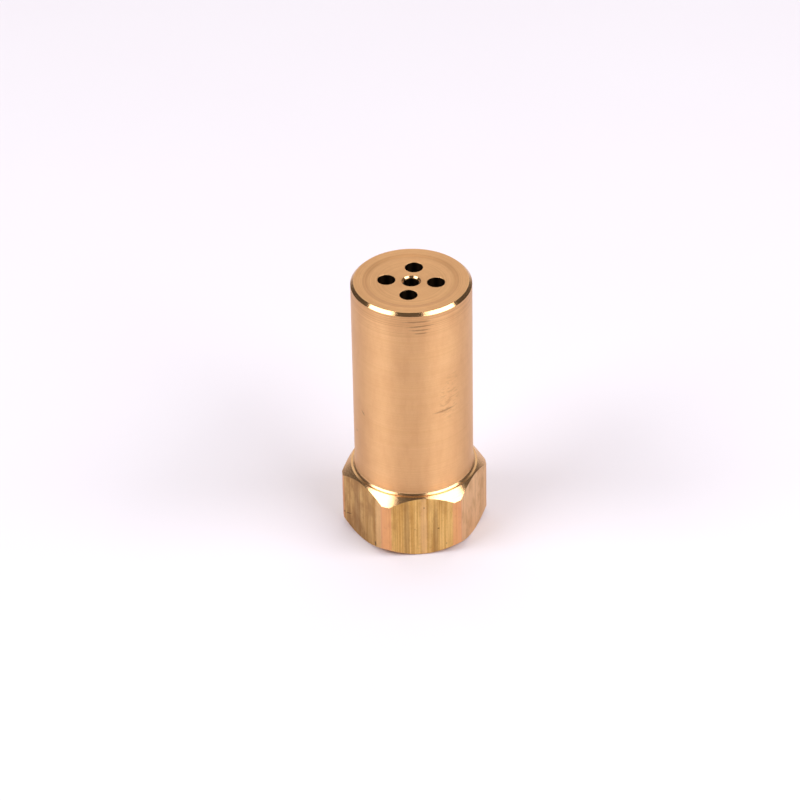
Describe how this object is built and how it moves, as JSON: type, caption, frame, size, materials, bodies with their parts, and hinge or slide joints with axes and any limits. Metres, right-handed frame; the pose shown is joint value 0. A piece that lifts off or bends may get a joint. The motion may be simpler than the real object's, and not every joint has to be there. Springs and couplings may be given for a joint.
{
  "type": "oil burner nozzle",
  "caption": "Air-atomising oil burner nozzle: a brass hexagon foot and turned barrel with spray ports in its end, holding an oil stem, a jet, an air swirler and a check valve.",
  "frame": {"origin": "middle of the flat inlet face that the nozzle stands on", "axes": "+Z along the nozzle's axis towards the spray ports; one flat of the hexagon faces -Y"},
  "size_m": [0.0269, 0.024, 0.053],
  "materials": {
    "turned_brass": "turned, with drawn flats on the hexagon",
    "swirler_brass": "machined",
    "spider_brass": "machined",
    "stem_brass": "turned",
    "spring_steel": "oiled spring steel",
    "circlip_steel": "phosphated",
    "jet_steel": "turned stainless",
    "copper": "annealed copper",
    "gauze_bronze": "woven wire",
    "seal_rubber": "matt nitrile",
    "ball_steel": "polished"
  },
  "bodies": {
    "nozzle": {"nozzle_body": "turned_brass", "air_swirler": "swirler_brass", "guide_spider": "spider_brass", "wave_washer": "spring_steel", "retaining_circlip": "circlip_steel", "oil_stem": "stem_brass", "oil_jet": "jet_steel", "jet_washer": "copper", "swirl_core": "jet_steel", "lock_screw": "swirler_brass", "strainer_collar": "swirler_brass", "strainer_gauze": "gauze_bronze", "strainer_cap": "swirler_brass", "seat_seal": "seal_rubber", "valve_seat": "jet_steel", "check_spring": "spring_steel"},
    "valve": {"check_ball": "ball_steel", "ball_guide": "swirler_brass"}
  },
  "joints": [
    {"name": "valve_lift", "type": "slide", "parent": "nozzle", "child": "valve", "axis": [0, 0, 1], "range_m": [0, 0.001], "stiffness_N_per_m": 300, "springref_m": -0.003, "deforming": ["check_spring"]}
  ]
}
